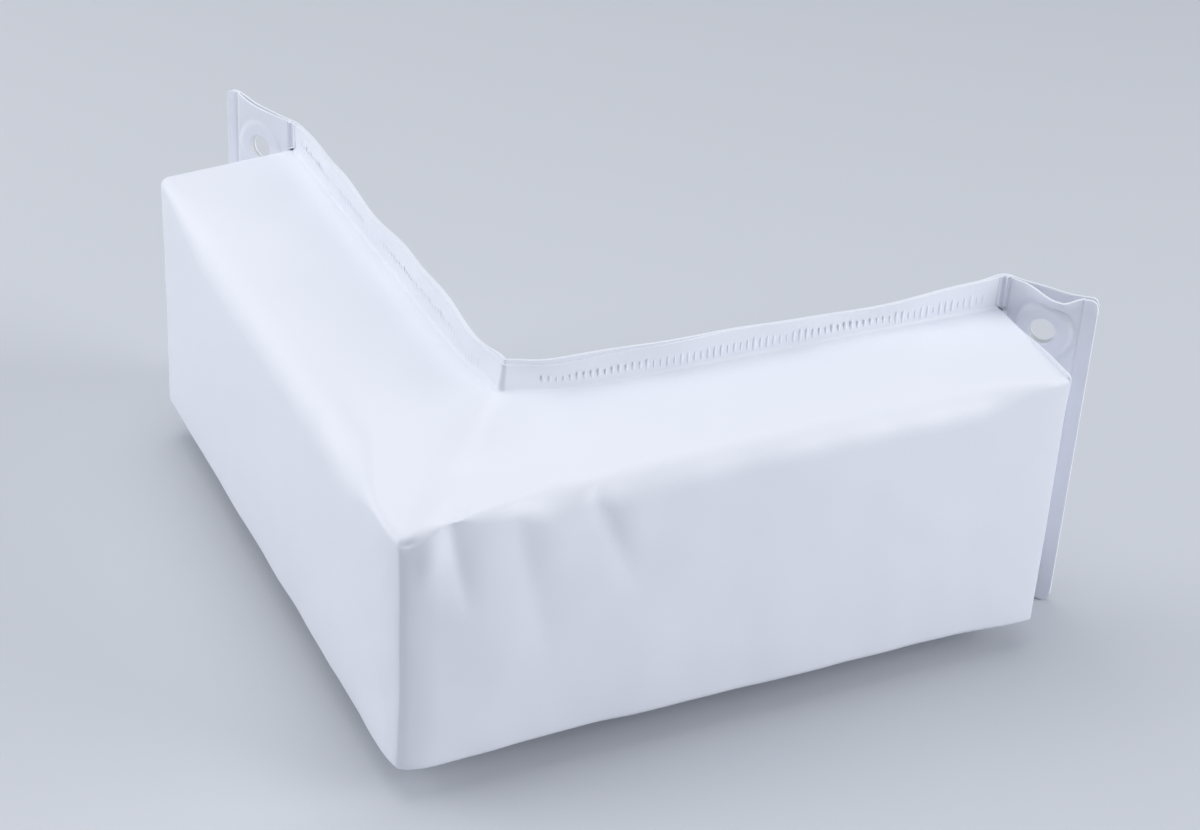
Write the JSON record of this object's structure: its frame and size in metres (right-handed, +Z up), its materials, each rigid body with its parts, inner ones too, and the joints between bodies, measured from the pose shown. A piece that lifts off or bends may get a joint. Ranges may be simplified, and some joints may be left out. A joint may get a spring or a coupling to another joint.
{
  "type": "dock corner bumper",
  "caption": "L-shaped foam-filled vinyl pad that wraps the corner of a dock, with welded flanges and end tabs for screws.",
  "frame": {"origin": "centre of the bounding box at its underside, level with the lower edges of the flange and tabs", "axes": "+Z up along the pad's outer vertical corner; the right arm runs along +X, the left arm along +Y, and the dock's corner fills the space between them"},
  "size_m": [0.2804, 0.2914, 0.133],
  "materials": {
    "vinyl": "satin white coated vinyl sheet",
    "foam": "closed-cell foam, cut faces",
    "washer": "natural moulded polypropylene"
  },
  "bodies": {
    "root": {"foam_core": "foam", "front_cover": "vinyl", "back_panel": "vinyl", "right_end_panel": "vinyl", "left_end_panel": "vinyl", "right_upper_washer": "washer", "left_upper_washer": "washer", "right_lower_washer": "washer", "left_lower_washer": "washer"}
  },
  "joints": []
}
